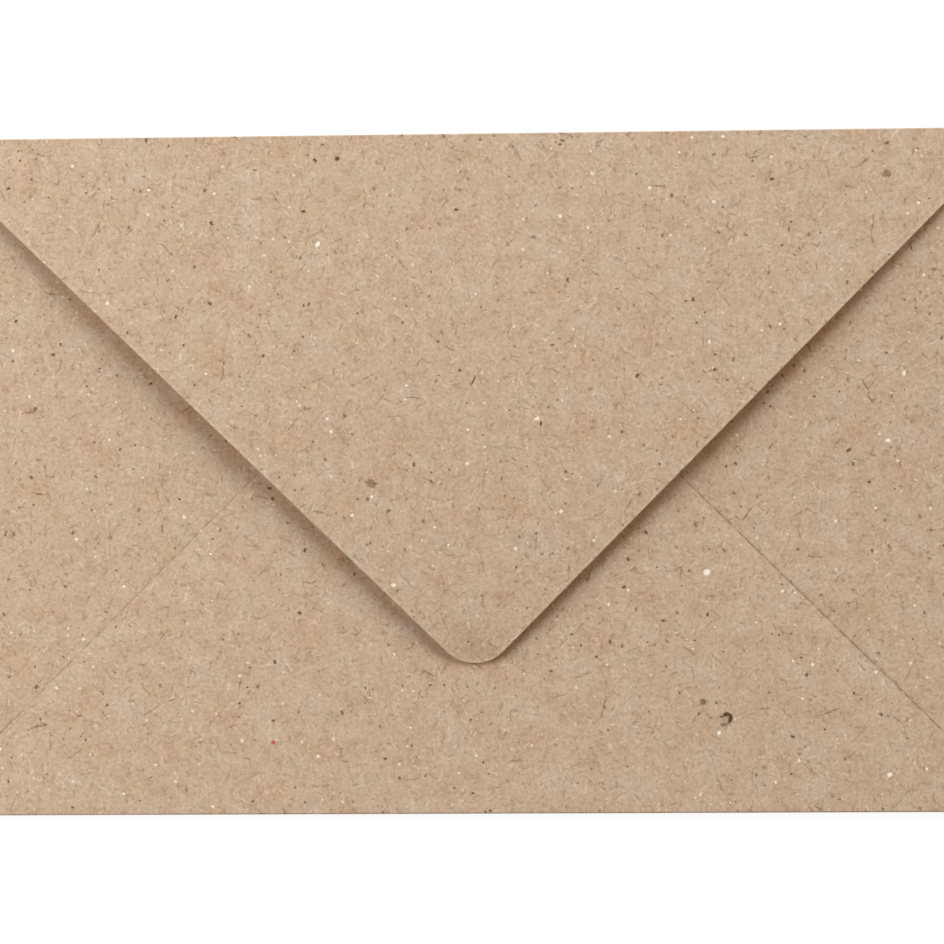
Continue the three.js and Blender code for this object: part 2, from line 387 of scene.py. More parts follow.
def fold_piece(name, node, body, edge, height, way, along_x, ends, seed, material):
    """A pressed crease: the halves of two rounded squares, about the middle of the height, carried along the
    fold. Their points are at the cosine and the sine of the turn, both raised to two over the crease's
    sharpness. way is 1 or -1, the side that it bulges to, and the ends are where it starts and stops. The
    paper's place runs on from the flap.
    """
    sizes = bpy.context.scene.envelope_sizes
    outer, power = height / 2, 2 / sizes.crease_power
    step = np.linspace(0, math.pi, FOLD_STEPS)
    angle = step - np.sin(4 * step) / 4
    run = np.append(np.arange(*ends, FOLD_SPACING)[:-1], ends[1])
    run, turn, radius, depth = np.broadcast_arrays(
        run[:, None], np.concatenate([angle, angle[::-1]]), np.repeat([outer, outer - sizes.paper], FOLD_STEPS),
        np.repeat([0.0, 1.0], FOLD_STEPS))
    across = edge + way * radius * np.sin(turn).clip(0) ** power
    z = outer + radius * np.sign(np.cos(turn)) * np.abs(np.cos(turn)) ** power
    unrolled = edge + way * outer * turn
    x, y = (run, across) if along_x else (across, run)
    u, v = (run, unrolled) if along_x else (unrolled, run)
    rim = np.minimum(run - ends[0], ends[1] - run)
    return add_piece(name, node, body, (x, y, z), grid_faces(*run.shape, capped=False),
                     (u, v, depth), rim, material, seed)


# Shader nodes


def wire(tree, socket, value):
    """Links the value to the socket, or sets it there."""
    if isinstance(value, bpy.types.NodeSocket):
        tree.links.new(value, socket)
    elif value is not None:
        socket.default_value = value


def put(tree, kind, *values, **settings):
    """Adds a node and gives its outputs. Each value goes to its inputs in order, as a constant or as a link from
    another socket, and None leaves an input alone.
    """
    made = tree.nodes.new(kind)
    for name, value in settings.items():
        setattr(made, name, value)
    for socket, value in zip(made.inputs, values):
        wire(tree, socket, value)
    return made.outputs


def maths(tree, operation, *values):
    """A Math node's output."""
    return put(tree, "ShaderNodeMath", *values, operation=operation)[0]


def times(tree, product, *factors):
    """The product of the values, taken from left to right."""
    for factor in factors:
        product = maths(tree, "MULTIPLY", product, factor)
    return product


def vector(tree, operation, *values):
    """A Vector Math node's vector output."""
    return put(tree, "ShaderNodeVectorMath", *values, operation=operation)[0]


def scaled(tree, place, factor):
    """The vector times a number."""
    return vector(tree, "SCALE", place, None, None, factor)


def turned(tree, place, angle):
    """The vector turned about Z."""
    return put(tree, "ShaderNodeVectorRotate", place, None, None, angle, rotation_type="Z_AXIS")[0]


def parts_of(tree, place):
    """The vector's three parts."""
    return put(tree, "ShaderNodeSeparateXYZ", place)


def ramp(tree, value, start, end, low=0.0, high=1.0):
    """Goes smoothly from low to high as the value goes from start to end."""
    return put(tree, "ShaderNodeMapRange", value, start, end, low, high, interpolation_type="SMOOTHSTEP")[0]


def noise(tree, place, scale, detail=2.0, roughness=0.5):
    """The outputs of a flat Noise Texture node over the place."""
    return put(tree, "ShaderNodeTexNoise", place, None, scale, detail, roughness, noise_dimensions="2D")


def pushed(tree, place, scale, reach):
    """The place, moved along X and Y by a noise of this scale, by up to half the reach either way."""
    push = noise(tree, place, scale, 1.0)["Color"]
    push = vector(tree, "MULTIPLY_ADD", push, (reach, reach, 0.0), (-reach / 2, -reach / 2, 0.0))
    return vector(tree, "ADD", place, push)


def tint(tree, factor, under, over):
    """Lays one colour over another by the factor."""
    mixed = tree.nodes.new("ShaderNodeMix")
    mixed.data_type = "RGBA"
    for index, value in ((0, factor), (6, under), (7, over)):
        wire(tree, mixed.inputs[index], value)
    return mixed.outputs[2]


def rgba(values):
    """A colour property as the four numbers that a socket takes."""
    return (*values, 1.0)


def new_group(name, inputs, outputs):
    """An empty shader group, with its names of inputs and outputs listed by their kind, and its sockets."""
    tree = bpy.data.node_groups.new(name, "ShaderNodeTree")
    for side, sockets in (("INPUT", inputs), ("OUTPUT", outputs)):
        for kind, labels in sockets.items():
            for label in labels:
                tree.interface.new_socket(name=label, in_out=side, socket_type=f"NodeSocket{kind}")
    return tree, tree.nodes.new("NodeGroupInput").outputs, tree.nodes.new("NodeGroupOutput").inputs


def use(tree, group, **values):
    """Places a group and sets its inputs, whose names have spaces where these have underscores."""
    node = tree.nodes.new("ShaderNodeGroup")
    node.node_tree = group
    for name, value in values.items():
        wire(tree, node.inputs[name.replace("_", " ").capitalize()], value)
    return node.outputs


def once(name, build):
    """The group of this name, built the first time that it is asked for."""
    return bpy.data.node_groups.get(name) or build(name)


def build_fibres(name):
    """One curved fibre, turned and shrunk at random, in each cell of a Voronoi pattern. All lengths are in
    millimetres. A fibre lies where the distance from its curve is under the half width and the distance along it
    under the half length.
    """
    tree, given, result = new_group(
        name, {"Vector": ["Place"], "Float": ["Cell", "Half length", "Half width", "Curl", "Chance", "Seed"]},
        {"Float": ["Mask", "Tone"]})
    half_length, half_width = given["Half length"], given["Half width"]
    shift = put(tree, "ShaderNodeCombineXYZ", given["Seed"], times(tree, given["Seed"], 1.7))[0]
    spot = vector(tree, "ADD", scaled(tree, given["Place"], maths(tree, "DIVIDE", 1.0, given["Cell"])), shift)
    cell = put(tree, "ShaderNodeTexVoronoi", spot, None, 1.0, voronoi_dimensions="2D")
    spin, lean, draw = put(tree, "ShaderNodeSeparateColor", cell["Color"])
    shrink = maths(tree, "FRACT", times(tree, draw, 9.7))
    shrink = maths(tree, "MULTIPLY_ADD", shrink, 0.8, 0.75)
    local = vector(tree, "SUBTRACT", spot, cell["Position"])
    local = scaled(tree, local, times(tree, given["Cell"], shrink))
    along = parts_of(tree, turned(tree, local, times(tree, spin, 2 * math.pi)))
    bent = times(tree, maths(tree, "SUBTRACT", lean, 0.5), given["Curl"])
    bent = times(tree, bent, times(tree, along[0], along[0]))
    off = maths(tree, "ABSOLUTE", maths(tree, "ADD", along[1], bent))
    width = ramp(tree, off, times(tree, half_width, 1.5), times(tree, half_width, 0.4))
    reach = ramp(tree, maths(tree, "ABSOLUTE", along[0]), half_length, times(tree, half_length, 0.6))
    there = maths(tree, "LESS_THAN", draw, given["Chance"])
    wire(tree, result["Mask"], times(tree, width, reach, there))
    wire(tree, result["Tone"], maths(tree, "FRACT", times(tree, maths(tree, "ADD", spin, lean), 7.3)))
    return tree


FIBRE_LAYERS = (
    # cell, half length, half width (all in mm), curl, chance, seed, how much it darkens or lightens
    (1.35, 0.72, 0.115, 0.30, 0.90, 1.3, -0.160),
    (0.85, 0.42, 0.110, 0.50, 0.90, 4.1, -0.130),
    (2.60, 1.20, 0.115, 0.22, 0.60, 9.7, -0.200),
    (4.20, 1.50, 0.140, 0.12, 0.50, 5.5, -0.240),
    (1.35, 0.72, 0.125, 0.30, 0.90, 6.2, 0.130),
    (0.85, 0.42, 0.120, 0.50, 0.90, 2.9, 0.115),
    (2.60, 1.20, 0.125, 0.22, 0.60, 8.4, 0.145),
)

SPECK_LAYERS = (
    # cell, half length, half width (all in mm), curl, chance, seed, strength, colour
    (1.35, 0.22, 0.120, 0.0, 0.05, 3.3, 1.00, "Speck"),
    (3.10, 0.34, 0.180, 0.0, 0.24, 7.7, 1.00, "Speck"),
    (3.90, 0.25, 0.180, 0.0, 0.33, 5.2, 0.95, "Fleck"),
    (2.10, 0.16, 0.110, 0.0, 0.10, 1.9, 0.80, "Fleck"),
)


def fibre_layer(tree, place, row):
    """Places the group of fibres with one row's settings."""
    names = ("cell", "half_length", "half_width", "curl", "chance", "seed")
    return use(tree, once("Paper fibres", build_fibres), place=place, **dict(zip(names, row)))


def build_kraft(name):
    """Recycled paper. Soft mottling, felt and layers of fibres make its tone, with specks and flecks on top. The
    felt is a fine noise, and the fibres lie on a place that another noise has pushed about, so that none is
    straight. A change of tone moves red least and blue most, as thin and thick spots in brown paper do. The way
    through the sheet comes as 0 to 1000, and its two faces have patterns of their own.
    """
    tree, given, result = new_group(
        name,
        {"Vector": ["Sheet"], "Float": ["Rim", "Rim light", "Rim shade"],
         "Color": ["Paper", "Cut edge", "Speck", "Fleck"]},
        {"Color": ["Colour"], "Float": ["Roughness", "Height"]})
    x, y, depth = parts_of(tree, scaled(tree, given["Sheet"], 1 / MM))
    face = times(tree, maths(tree, "GREATER_THAN", depth, 500.0), 61.0)
    flat = put(tree, "ShaderNodeCombineXYZ", maths(tree, "ADD", x, face), y)[0]
    curly = pushed(tree, flat, 0.9, 0.5)

    felt = noise(tree, curly, 1.6, 3.0, 0.60)["Fac"]
    cloud = noise(tree, flat, 0.42, 3.0, 0.60)["Fac"]
    tone = times(tree, maths(tree, "SUBTRACT", felt, 0.5), 0.50)
    tone = maths(tree, "MULTIPLY_ADD", maths(tree, "SUBTRACT", cloud, 0.5), 0.36, tone)
    crowd = ramp(tree, noise(tree, flat, 0.6)["Fac"], 0.3, 0.7, 0.45, 1.45)
    for *row, strength in FIBRE_LAYERS:
        fibre = fibre_layer(tree, curly, row)
        amount = times(tree, fibre["Mask"], maths(tree, "ADD", 0.3, fibre["Tone"]), crowd)
        tone = maths(tree, "MULTIPLY_ADD", amount, strength, tone)
    # Painted highlight: the rim light lifts the tone near the cut edges, where they catch the light.
    painted_rim_highlight = times(tree, ramp(tree, given["Rim"], 0.8 * MM, 0.25 * MM), given["Rim light"])
    tone = maths(tree, "ADD", tone, painted_rim_highlight)
    tone = vector(tree, "MULTIPLY_ADD", tone, (0.87, 1.0, 1.18), (1.0, 1.0, 1.0))
    patches = noise(tree, flat, 0.17, 3.0)
    pale = vector(tree, "MULTIPLY_ADD", patches["Fac"], (0.0, 0.27, 0.52), (1.0, 0.865, 0.74))
    hue = vector(tree, "MULTIPLY_ADD", patches["Color"], (0.09, 0.04, 0.06), (0.955, 0.98, 0.97))
    body = given["Paper"]
    for layer in (pale, hue, tone):
        body = vector(tree, "MULTIPLY", body, layer)

    ragged = pushed(tree, flat, 3.5, 0.3)
    for *row, strength, kind in SPECK_LAYERS:
        spot = fibre_layer(tree, ragged, row)
        amount = times(tree, spot["Mask"], maths(tree, "MULTIPLY_ADD", spot["Tone"], 0.75, 0.25), strength)
        body = tint(tree, amount, body, given[kind])
    # Painted shade along the cut edges: the rim shade darkens them towards the cut edge colour, in broken
    # patches.
    patchy = ramp(tree, noise(tree, flat, 0.8)["Fac"], 0.35, 0.65, 0.3, 1.3)
    painted_edge_shade = times(tree, ramp(tree, given["Rim"], 0.30 * MM, 0.06 * MM), given["Rim shade"], patchy)
    body = tint(tree, painted_edge_shade, body, given["Cut edge"])
    # The cut walls between the faces take the cut edge colour: partly rough fibre ends, partly painted shade.
    from_middle = maths(tree, "ABSOLUTE", maths(tree, "SUBTRACT", depth, 500.0))
    body = tint(tree, ramp(tree, from_middle, 490.0, 290.0), body, given["Cut edge"])
    wire(tree, result["Colour"], body)
    wire(tree, result["Roughness"], maths(tree, "MULTIPLY_ADD", felt, 0.14, 0.84))
    wire(tree, result["Height"], felt)
    return tree


def build_spot(name):
    """One spot at a given place, in millimetres: an ellipse, bent and turned, with an edge that a noise makes
    ragged.
    """
    tree, given, result = new_group(
        name,
        {"Vector": ["Sheet", "Centre"], "Float": ["Turn", "Half length", "Half width", "Curl", "Ragged"]},
        {"Float": ["Mask"]})
    local = scaled(tree, vector(tree, "SUBTRACT", given["Sheet"], given["Centre"]), 1 / MM)
    wobble = times(tree, maths(tree, "SUBTRACT", noise(tree, local, 2.6)["Fac"], 0.5), given["Ragged"])
    along = parts_of(tree, turned(tree, local, times(tree, given["Turn"], -1.0)))
    bend = times(tree, along[0], along[0], given["Curl"])
    long_way = maths(tree, "DIVIDE", along[0], given["Half length"])
    cross_way = maths(tree, "DIVIDE", maths(tree, "SUBTRACT", along[1], bend), given["Half width"])
    reach = maths(tree, "ADD", times(tree, long_way, long_way), times(tree, cross_way, cross_way))
    reach = maths(tree, "ADD", maths(tree, "SQRT", reach), wobble)
    wire(tree, result["Mask"], ramp(tree, reach, 1.25, 0.7))
    return tree


# Spots that stand out on the paper: place in mm, turn in degrees, half length and half width in mm, curl, ragged
# edge, colour and strength.

SEAL_SPOTS = {
    "bark by the middle": (-15.4, -1.7, -35, 0.90, 0.66, 0.0, 1.2, "bark", 0.68),
    "bark near the right corner": (68.0, 47.6, 10, 0.75, 0.55, 0.0, 1.4, "bark", 0.66),
    "speck under the top fold": (-20.6, 51.1, 20, 0.42, 0.36, 0.0, 0.6, "speck", 0.95),
    "speck beside the fleck": (12.1, 7.7, 80, 0.42, 0.20, 0.0, 0.5, "speck", 0.95),
    "speck at the upper middle": (-0.9, 16.4, 0, 0.30, 0.26, 0.0, 0.5, "speck", 0.8),
    "fibre at the upper middle": (1.3, 14.7, 62, 0.95, 0.13, 0.10, 0.3, "speck", 0.9),
    "curled fibre": (-8.4, 12.1, -4, 1.40, 0.13, -0.08, 0.4, "dark_fibre", 0.6),
    "fleck on the left": (-23.8, 37.1, 60, 0.50, 0.34, 0.0, 1.0, "fleck", 0.95),
    "fleck in the middle": (11.5, 8.5, 20, 0.42, 0.30, 0.0, 0.8, "fleck", 0.9),
    "fleck near the tip": (-11.8, -18.1, 0, 0.42, 0.30, 0.0, 0.6, "fleck", 0.95),
}

RIGHT_SPOTS = {
    "fibre, upper half": (64.3, 13.6, -58, 0.95, 0.11, 0.0, 0.3, "dark_fibre", 0.9),
    "fibre, lower half": (65.2, 11.2, -52, 0.85, 0.12, 0.0, 0.3, "dark_fibre", 0.9),
    "speck under the fibre": (61.6, 3.1, 38, 0.55, 0.26, 0.0, 1.0, "speck", 0.9),
    "fleck on the right": (70.6, 15.4, 80, 0.42, 0.30, 0.0, 0.8, "fleck", 0.9),
    "fleck by the seam": (67.9, 4.6, 0, 0.40, 0.32, 0.0, 0.6, "fleck", 0.95),
}

LEFT_SPOTS = {
    "speck on the left": (-67.2, 19.7, 0, 0.36, 0.30, 0.0, 0.6, "speck", 0.8),
}

BOTTOM_SPOTS = {
    "ring, stain": (41.25, -40.2, 70, 0.90, 0.70, 0.0, 0.8, "stain", 0.22),
    "ring, lower side": (41.05, -40.9, 5, 0.66, 0.30, 0.0, 1.0, "stain", 0.9),
    "ring, outer side": (42.2, -39.9, 84, 0.85, 0.35, 0.40, 1.0, "ink", 0.92),
    "ring, upper side": (41.45, -39.2, 12, 0.62, 0.36, -0.3, 1.1, "ink", 0.9),
    "bark beside the ring": (37.8, -37.2, -15, 0.58, 0.48, 0.0, 0.9, "bark", 0.85),
    "red thread": (-31.5, -43.4, 10, 0.42, 0.34, 0.0, 0.8, "thread", 0.9),
    "fleck above the ring": (38.6, -16.4, 10, 0.60, 0.48, 0.0, 0.6, "fleck", 0.97),
    "fleck below the ring": (40.3, -42.2, 60, 0.36, 0.28, 0.0, 0.5, "fleck", 0.95),
    "fleck at the corner": (67.5, -49.0, 30, 0.45, 0.34, 0.0, 0.8, "fleck", 0.95),
}


# Materials


def new_finish(name):
    """A new material with its tree, its shader's sockets and the place on the sheet that its pattern reads."""
    material = bpy.data.materials.new(name)
    material.use_nodes = True
    tree = material.node_tree
    shader = tree.nodes["Principled BSDF"].inputs
    shader["Specular IOR Level"].default_value = SPECULAR
    return material, tree, shader, put(tree, "ShaderNodeAttribute", attribute_name="sheet")["Vector"]


def wire_finish(tree, shader, body, roughness, height, strength, distance):
    """Wires the colour, the roughness and a bump of this strength and distance to the shader."""
    bump = tree.nodes.new("ShaderNodeBump")
    wire(tree, bump.inputs["Strength"], strength)
    wire(tree, bump.inputs["Distance"], distance)
    wire(tree, bump.inputs["Height"], height)
    wire(tree, shader["Base Color"], body)
    wire(tree, shader["Roughness"], roughness)
    wire(tree, shader["Normal"], bump.outputs["Normal"])


def use_kraft(tree, sheet, rim, rim_light, rim_shade):
    """Places the group of the recycled paper, with the colours that the scene holds."""
    colours = bpy.context.scene.envelope_colours
    chosen = {name: rgba(getattr(colours, name)) for name in ("paper", "cut_edge", "speck", "fleck")}
    return use(tree, once("Kraft paper", build_kraft), sheet=sheet, rim=rim, rim_light=rim_light,
               rim_shade=rim_shade, **chosen)


def kraft_material(name, seed=0, spots=None, rim_light=0.0, rim_shade=(0.0, 0.0)):
    """The recycled paper's finish, with the spots that a piece has of its own. The rim light is a painted
    highlight on its cut edges, and the rim shade is painted shade on them, by its first number on the left and
    its second on the right, with a soft change over the middle 20 mm.
    """
    if bpy.data.materials.get(name):
        return bpy.data.materials[name]
    colours = bpy.context.scene.envelope_colours
    material, tree, shader, sheet = new_finish(name)
    rim = put(tree, "ShaderNodeAttribute", attribute_name="rim")["Fac"]
    shift_x, shift_y = pattern_shift(seed)
    across, _, depth = parts_of(tree, sheet)
    shade = ramp(tree, across, shift_x - 10 * MM, shift_x + 10 * MM, *rim_shade)
    paper = use_kraft(tree, sheet, rim, rim_light, shade)
    body = paper["Colour"]
    flat = vector(tree, "MULTIPLY", sheet, (1.0, 1.0, 0.0))
    outside = maths(tree, "LESS_THAN", depth, 0.5)
    for x, y, turn, half_length, half_width, curl, ragged, kind, strength in (spots or {}).values():
        spot = use(
            tree, once("Spot", build_spot), sheet=flat, centre=(x * MM + shift_x, y * MM + shift_y, 0.0),
            turn=math.radians(turn), half_length=half_length, half_width=half_width, curl=curl, ragged=ragged)
        body = tint(tree, times(tree, spot["Mask"], strength, outside), body, rgba(getattr(colours, kind)))
    wire_finish(tree, shader, body, paper["Roughness"], paper["Height"], 0.5, 0.04 * MM)
    return material


def film_material(name, base, roughness, streak, cover):
    """A dried film: brushed streaks along it and small blisters, more glossy where it is thick. The streaks are
    a noise drawn out along the band, whose place is in the sheet attribute. The cover is how much of the paper's
    own colour, with its fibres and specks, the film hides.
    """
    material, tree, shader, sheet = new_finish(name)
    long_way = vector(tree, "MULTIPLY", sheet, (0.08 / MM, 1 / MM, 0.0))
    brushed = noise(tree, long_way, 2.2, 3.0, 0.6)["Fac"]
    round_way = vector(tree, "MULTIPLY", sheet, (1 / MM, 1 / MM, 0.0))
    blisters = noise(tree, round_way, 1.1, 3.0, 0.6)["Fac"]
    tone = maths(tree, "MULTIPLY_ADD", brushed, streak, 1 - streak / 2)
    tone = maths(tree, "MULTIPLY_ADD", maths(tree, "SUBTRACT", blisters, 0.5), 0.14, tone)
    paper = use_kraft(tree, sheet, FAR_IN, 0.0, 0.0)
    body = scaled(tree, tint(tree, cover, paper["Colour"], rgba(base)), tone)
    rough = maths(tree, "MULTIPLY_ADD", blisters, 0.2, roughness - 0.1)
    wire_finish(tree, shader, body, rough, maths(tree, "ADD", brushed, blisters), 0.6, 0.05 * MM)
    return material


# Shapes that more than one piece reads


def seal_apex():
    """Where the seal flap's two edges would meet."""
    return apex_of(PANEL_HIGH.y, SEAL_HIGH.x, SEAL_LOW.y, bpy.context.scene.envelope_sizes.tip_radius)


def bottom_apex():
    """Where the bottom flap's two edges would meet."""
    return apex_of(PANEL_LOW.y, BOTTOM_HIGH.x, BOTTOM_HIGH.y, bpy.context.scene.envelope_sizes.tip_radius)


def seal_underside(x, y):
    """Height of the seal flap's underside: a straight line from root to tip with a parabola on it, less the
    droop times exp(-distance from the tip, squared, over the square of its reach).
    """
    sizes = bpy.context.scene.envelope_sizes
    done = (PANEL_HIGH.y - y) / (PANEL_HIGH.y - SEAL_LOW.y)
    droop = sizes.tip_droop * np.exp(-(x ** 2 + (y - SEAL_LOW.y) ** 2) / sizes.tip_droop_reach ** 2)
    return SEAL_LOW.z + (sizes.tip_base - SEAL_LOW.z) * done + 4 * sizes.bow * done * (1 - done) - droop


def level(height):
    """The height function of a layer that lies flat."""
    return lambda x, y: height + 0 * x


def mirrored(corners):
    """The corners seen in the plane x = 0, in an order that still runs anticlockwise."""
    return [(-x, y, radius) for x, y, radius in reversed(corners)]


# Operators


class ENVELOPE_OT_front_panel(bpy.types.Operator):
    """Makes the front panel, which the envelope lies on"""

    bl_idname = "envelope.front_panel"
    bl_label = "Front Panel"

    def execute(self, context):
        right, top, bottom = PANEL_HIGH.x, PANEL_HIGH.y, PANEL_LOW.y
        corners = [(-right, bottom, 0), (right, bottom, 0), (right, top, 0), (-right, top, 0)]
        sheet_piece(
            "panel_sheet", "front_panel", "pocket", corners, [False] * 4, level(PANEL_LOW.z), SEEDS["panel"],
            kraft_material("Kraft paper, plain"), outer_up=False, spacing=1.0 * MM)
        return {"FINISHED"}


class ENVELOPE_OT_side_flaps(bpy.types.Operator):
    """Makes the two side flaps, with their rounded inner ends"""

    bl_idname = "envelope.side_flaps"
    bl_label = "Side Flaps"

    def execute(self, context):
        sizes = context.scene.envelope_sizes
        root, end = SIDE_HIGH.x, SIDE_LOW.x
        seam_apex, mouth_apex = bottom_apex(), seal_apex()
        seam = seam_apex + (PANEL_LOW.y - seam_apex) * end / BOTTOM_HIGH.x
        mouth = mouth_apex + (PANEL_HIGH.y - mouth_apex) * end / SEAL_HIGH.x
        corners = [
            (root - sizes.foot_run, SIDE_LOW.y, 0),
            (root, SIDE_LOW.y, 0),
            (root, SIDE_HIGH.y, 0),
            (end, mouth + sizes.mouth_lap, sizes.side_corner),
            (end, seam - sizes.seam_lap, sizes.side_corner),
        ]
        # Seen in the mirror, the corners start at another one, so their sides are listed the other way round.
        for side, shape, cut, spots in (
            ("right", corners, [True, False, True, True, True], RIGHT_SPOTS),
            ("left", mirrored(corners), [True, True, True, False, True], LEFT_SPOTS),
        ):
            sheet_piece(
                f"{side}_side_sheet", f"{side}_side_flap", "pocket", shape, cut, level(SIDE_LOW.z), SEEDS[side],
                kraft_material(f"Kraft paper, {side} side flap", SEEDS[side], spots))
        return {"FINISHED"}


class ENVELOPE_OT_bottom_flap(bpy.types.Operator):
    """Makes the bottom flap, whose edges are the slanting seams"""

    bl_idname = "envelope.bottom_flap"
    bl_label = "Bottom Flap"

    def execute(self, context):
        sizes = context.scene.envelope_sizes
        trim = sizes.seam_trim * math.sqrt(2)
        right, root, shift = BOTTOM_HIGH.x - trim, PANEL_LOW.y, sizes.seam_shift
        tip = (-shift, bottom_apex() - trim, sizes.tip_radius)
        corners = [(-right - shift, root, 0), (right - shift, root, 0), tip]
        # The rim shade paints a dark line of shade along the two seams, darker on the right seam than on the
        # left.
        sheet_piece(
            "bottom_sheet", "bottom_flap", "pocket", corners, [False, True, True], level(BOTTOM_LOW.z),
            SEEDS["bottom"],
            kraft_material("Kraft paper, bottom flap", SEEDS["bottom"], BOTTOM_SPOTS, rim_shade=(0.62, 1.0)),
            droop=((sizes.seam_droop, sizes.seam_droop_reach), (sizes.seam_press, sizes.seam_press_reach)))
        return {"FINISHED"}


class ENVELOPE_OT_seal_flap(bpy.types.Operator):
    """Makes the bowed seal flap"""

    bl_idname = "envelope.seal_flap"
    bl_label = "Seal Flap"

    def execute(self, context):
        sizes = context.scene.envelope_sizes
        right, root = SEAL_HIGH.x, PANEL_HIGH.y
        corners = [(right, root, 0), (-right, root, 0), (0, seal_apex(), sizes.tip_radius)]
        # The seal flap's rim light paints a highlight along its cut edges.
        sheet_piece(
            "seal_sheet", "seal_flap", "closure", corners, [False, True, True], seal_underside, SEEDS["seal"],
            kraft_material("Kraft paper, seal flap", SEEDS["seal"], SEAL_SPOTS, rim_light=0.09),
            skew=sizes.skew)
        return {"FINISHED"}


class ENVELOPE_OT_folds(bpy.types.Operator):
    """Makes the four folds that join the panel and the flaps"""

    bl_idname = "envelope.folds"
    bl_label = "Folds"

    def execute(self, context):
        paper = context.scene.envelope_sizes.paper
        material = kraft_material("Kraft paper, plain")
        side_ends, long_ends = (SIDE_LOW.y, SIDE_HIGH.y), (-BOTTOM_HIGH.x, BOTTOM_HIGH.x)
        for side, way in (("right", 1), ("left", -1)):
            fold_piece(f"{side}_crease", f"{side}_fold", "pocket", way * PANEL_HIGH.x, SIDE_LOW.z + paper, way,
                       False, side_ends, SEEDS[side], material)
        fold_piece("bottom_crease", "bottom_fold", "pocket", PANEL_LOW.y, BOTTOM_LOW.z + paper, -1, True,
                   long_ends, SEEDS["bottom"], material)
        top = fold_piece("top_crease", "top_fold", None, PANEL_HIGH.y, SEAL_LOW.z + paper, 1, True,
                         long_ends, SEEDS["seal"], material)
        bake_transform(top)
        return {"FINISHED"}


class ENVELOPE_OT_seam_paste(bpy.types.Operator):
    """Makes the strips of paste under the two slanting seams"""

    bl_idname = "envelope.seam_paste"
    bl_label = "Seam Paste"

    def execute(self, context):
        apex = bottom_apex()
        slope = (PANEL_LOW.y - apex) / BOTTOM_HIGH.x
        stretch = math.hypot(1, slope)
        inset, width, radius = 1.2 * MM, 3.0 * MM, 0.8 * MM
        upper, lower = apex - inset * stretch, apex - (inset + width) * stretch
        inner, outer = PASTE_LOW.x, PASTE_HIGH.x
        corners = [
            (inner, lower + slope * inner, radius),
            (outer, lower + slope * outer, radius),
            (outer, upper + slope * outer, radius),
            (inner, upper + slope * inner, radius),
        ]
        material = film_material("Dry seam paste", context.scene.envelope_colours.paste, 0.5, 0.12, 0.7)
        for side, shape in (("right", corners), ("left", mirrored(corners))):
            sheet_piece(
                f"{side}_paste_strip", f"{side}_seam_paste", "pocket", shape, [True] * 4, level(PASTE_LOW.z),
                SEEDS["paste"], material, thickness=PASTE_HIGH.z - PASTE_LOW.z)
        return {"FINISHED"}


class ENVELOPE_OT_seal_gum(bpy.types.Operator):
    """Makes the V of dry gum on the inside of the seal flap"""

    bl_idname = "envelope.seal_gum"
    bl_label = "Seal Gum"

    def execute(self, context):
        """The band's section is carried along the V. Across it the film is as thick as the root of one less the
        eighth power of the distance from the middle, and its borders waver as a brushed band's do.
        """
        edge_points, tip_points, across_points = 160, 40, 17
        least_film, clearance, waver = 0.004 * MM, 0.006 * MM, 0.25 * MM
        waver_lag = 31  # points by which the inner border's waver runs behind the outer one's
        sizes = context.scene.envelope_sizes
        root, apex = PANEL_HIGH.y, seal_apex()
        slope = (root - apex) / SEAL_HIGH.x
        stretch = math.hypot(1, slope)
        top = root - sizes.gum_start
        borders = []
        for inset, radius in ((sizes.gum_inset, sizes.tip_radius - sizes.gum_inset),
                              (sizes.gum_inset + sizes.gum_width, sizes.gum_inner_radius)):
            tip = apex + inset * stretch
            end = (top - tip) / slope
            corners = [(end, top, 0), (-end, top, 0), (0, tip, radius)]
            border = outline(corners, 0.0, [0, edge_points, edge_points], tip_points)[1:]
            borders.append(np.append(border, [[-border[0, 0], top]], 0))
        outer, inner = borders
        across = (1 - np.cos(np.linspace(0, math.pi, across_points))) / 2
        film = sizes.gum_film * np.sqrt(1 - (2 * across - 1) ** 8) + least_film
        wander = smooth_noise(len(outer), SEEDS["gum"], 6)[:, None] * waver
        band = inner - outer
        band_width = np.linalg.norm(band, axis=1)[:, None]
        outer = outer + band / band_width * wander
        inner = inner + band / band_width * np.roll(wander, waver_lag, 0)
        spread = np.concatenate([across, across[::-1]])
        plan = outer[:, None] + (inner - outer)[:, None] * spread[None, :, None]
        skin = seal_underside(plan[..., 0], plan[..., 1]) - clearance
        z = skin - np.concatenate([film, np.zeros(len(film))])
        run = np.cumsum(np.linalg.norm(np.diff((outer + inner) / 2, axis=0), axis=1))
        run = np.append(0, run)[:, None] + 0 * z
        x = leaned(plan[..., 0], plan[..., 1], sizes.skew)
        material = film_material("Dry sealing gum", context.scene.envelope_colours.gum, 0.68, 0.14, 0.5)
        add_piece("gum_band", "seal_gum", "closure", (x, plan[..., 1], z),
                  grid_faces(*z.shape, capped=False), (run, band_width * spread, 0 * z),
                  np.full(z.size, FAR_IN), material)
        return {"FINISHED"}


